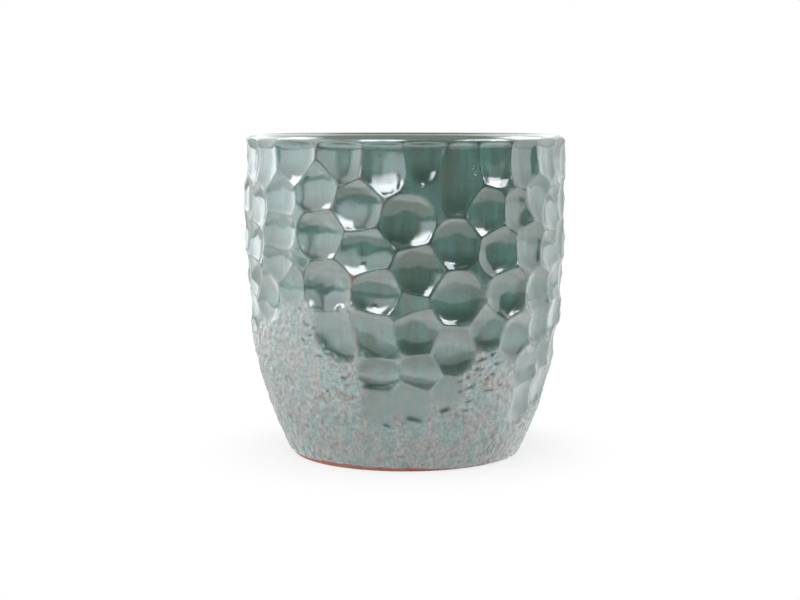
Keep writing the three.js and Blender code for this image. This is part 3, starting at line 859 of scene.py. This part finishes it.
for name, bearing, rise, width, tall, brightness in LAMPS:
    lamp = bpy.data.lights.new(name, "AREA")
    lamp.shape, lamp.size, lamp.size_y = "RECTANGLE", width, tall
    lamp.energy = brightness * math.pi * width * tall
    softbox = bpy.data.objects.new(name, lamp)
    scene.collection.objects.link(softbox)
    aim(softbox, bearing, rise, LAMP_DISTANCE)
    softbox.visible_camera = softbox.visible_glossy = False
    print(name, "at", [round(v, 2) for v in softbox.location], round(lamp.energy, 1), "W")

# %% [markdown]
# ## What the glaze mirrors
# A glossy glaze shows the room more than the lamps, so the room matters. Pale panels left and right make the
# pale sides, small bright windows make the white spots in the scoops, bright patches of the table show in
# every surface that leans down, and dark screens in front keep the middle deep green. Only reflections see
# them, so they neither change the colour of the glaze nor show in the picture.

# %% Helper for panels that glow
GLOW_TINT = (0.95, 0.97, 1.03, 1)
NEAR_POT, CLEAR_OF_POT, NEAR_SHARE = 0.17, 0.33, 0.45   # close to the pot a patch of the table glows less


def soft_glow(name, brightness, soft):
    """A clear, glowing finish that fades in from the left, right, lower and upper edge over shares of its
    size."""
    finish, tree, _ = new_material(name)
    across = add(tree, "ShaderNodeSeparateXYZ")
    feed(tree, across.inputs[0], add(tree, "ShaderNodeTexCoord").outputs["Generated"])
    off_axis = add(tree, "ShaderNodeVectorMath", operation="LENGTH")
    feed(tree, off_axis.inputs[0], add(tree, "ShaderNodeNewGeometry").outputs["Position"])
    near = off_axis.outputs["Value"]
    strength = spread(tree, near, NEAR_POT, CLEAR_OF_POT, NEAR_SHARE * brightness, brightness)
    for axis, (first, last) in (("X", soft[:2]), ("Y", soft[2:])):
        strength = maths(tree, "MULTIPLY", spread(tree, across.outputs[axis], 0.0, first), strength)
        strength = maths(tree, "MULTIPLY", spread(tree, across.outputs[axis], 1.0, 1.0 - last), strength)
    glow, clear = add(tree, "ShaderNodeEmission"), add(tree, "ShaderNodeBsdfTransparent")
    both = add(tree, "ShaderNodeAddShader")
    feed(tree, glow.inputs["Color"], GLOW_TINT)
    feed(tree, glow.inputs["Strength"], strength)
    feed(tree, both.inputs[0], glow.outputs[0])
    feed(tree, both.inputs[1], clear.outputs[0])
    feed(tree, tree.nodes["Material Output"].inputs["Surface"], both.outputs[0])
    return finish


def mirrored(name, x, y, brightness, soft):
    """A bright panel of half width x and half height y that only reflections see."""
    panel = flat_square(name, x, y)
    scene.collection.objects.link(panel)
    for way in ("camera", "diffuse", "shadow", "transmission", "volume_scatter"):
        setattr(panel, "visible_" + way, False)
    panel.data.materials.append(soft_glow(name, brightness, soft))
    return panel


# %% Panels and windows
EVEN, WINDOW = (0.2,) * 4, (0.14,) * 4
PANELS = [                  # bearing, rise, distance in m, width and height in degrees, brightness, edges
    ("left_panel", -97, 8, 1.9, 100, 76, 2.7, (0.2, 0.12, 0.2, 0.2)),
    ("left_window", -90, 36, 1.8, 26, 34, 9, WINDOW),
    ("front_left_panel", -26, 14, 1.9, 38, 42, 2.0, (0.2, 0.3, 0.25, 0.3)),
    ("key_window", -16.5, 27, 1.8, 31, 27, 12, (0.14, 0.14, 0.45, 0.14)),
    ("upper_left_panel", -128, 42, 1.9, 60, 44, 1.7, EVEN),
    ("upper_right_panel", 128, 42, 1.9, 60, 44, 2.6, EVEN),
    ("right_panel", 106, 6, 1.9, 66, 70, 1.5, EVEN),
    ("right_window", 100, 38, 1.8, 31, 29, 8, WINDOW),
    ("front_right_window", 59, 30, 1.8, 32, 17, 9, WINDOW),
    ("low_right_window", 68, 22, 1.8, 17, 12, 9, WINDOW),
    ("small_window", 40, 23, 1.8, 11.5, 9, 12, WINDOW),
    ("back_wall", 180, 22, 1.9, 110, 40, 0.8, EVEN),
]


def half_size(distance, angle):
    """Half the size of a panel that fills an angle in degrees, as seen from the pot."""
    return distance * math.tan(math.radians(angle / 2))


for name, bearing, rise, distance, wide, tall, brightness, soft in PANELS:
    panel = mirrored(name, half_size(distance, wide), half_size(distance, tall), brightness, soft)
    aim(panel, bearing, rise, distance)
print(len(PANELS), "panels and windows stand round the pot")

# %% Bright patches of the table
ABOVE_TABLE = 0.001         # m
SQUARE_ANGLE = 53.13        # degrees; seen from a metre away, a square of one metre fills this
TABLE_GLOWS = [             # place, width and depth in m, turn in degrees, brightness, edges
    ("near_table", -0.35, -0.30, 1.9, 0.52, 20.8, 2.9, (0.1, 0.15, 0.08, 0.4)),
    ("far_table", -0.95, -0.95, 1.3, 0.8, 20.8, 0.5, EVEN),
    ("middle_table", 0.1, -0.45, 1.6, 1.1, 0, 0.3, (0.1, 0.1, 0.06, 0.15)),
    ("left_table", -0.6, -0.15, 1.0, 0.7, 0, 1.5, (0.2, 0.12, 0.2, 0.3)),
    ("right_table", 0.6, -0.15, 1.0, 0.7, 0, 0.8, (0.12, 0.2, 0.2, 0.3)),
    ("far_left_table", -1.2, 0.15, 1.7, 1.6, 0, 1.3, (0.04, 0.1, 0.2, 0.2)),
    ("far_right_table", 1.2, 0.25, 1.7, 1.4, 0, 0.9, (0.1, 0.04, 0.2, 0.2)),
]
for name, x, y, wide, deep, turn, brightness, soft in TABLE_GLOWS:
    patch = mirrored(name, half_size(1.0, SQUARE_ANGLE), half_size(1.0, SQUARE_ANGLE), brightness, soft)
    patch.location = (x, y, ABOVE_TABLE)
    patch.rotation_euler = (0, 0, math.radians(turn))
    patch.scale = (wide, deep, 1)
print(len(TABLE_GLOWS), "bright patches lie on the table")

# %% Dark screens
SCREEN_STEPS, DARK_GREY = 24, (0.3, 0.3, 0.3, 1)
SCREENS = [                 # first and last bearing, then radius and height of the lower and upper edge
    ("dark_space", -5, 56, [(1.05, 0.002), (2.4, 1.9)]),
    ("dark_gap", -55, -5, [(1.05, 0.002), (1.14, 0.125)]),
    ("dark_stand", 70, 78, [(1.05, 0.002), (1.05, 0.5)]),
    ("low_dark_space", 56, 70, [(1.05, 0.002), (1.05, 0.36)]),
]
dark_finish, tree, shader = new_material("dark_space")
feed(tree, shader.inputs["Base Color"], DARK_GREY)
feed(tree, shader.inputs["Roughness"], 0.9)

for name, first, last, edges in SCREENS:
    bearings = np.radians(np.linspace(first, last, SCREEN_STEPS + 1))
    count = len(bearings)
    points = [(r * math.sin(b), -r * math.cos(b), z) for r, z in edges for b in bearings]
    mesh = bpy.data.meshes.new(name)
    mesh.from_pydata(points, [], [(i, i + 1, i + count + 1, i + count) for i in range(SCREEN_STEPS)])
    mesh.materials.append(dark_finish)
    screen = bpy.data.objects.new(name, mesh)
    scene.collection.objects.link(screen)
    screen.visible_camera = screen.visible_diffuse = screen.visible_shadow = False
print(len(SCREENS), "dark screens stand in front")
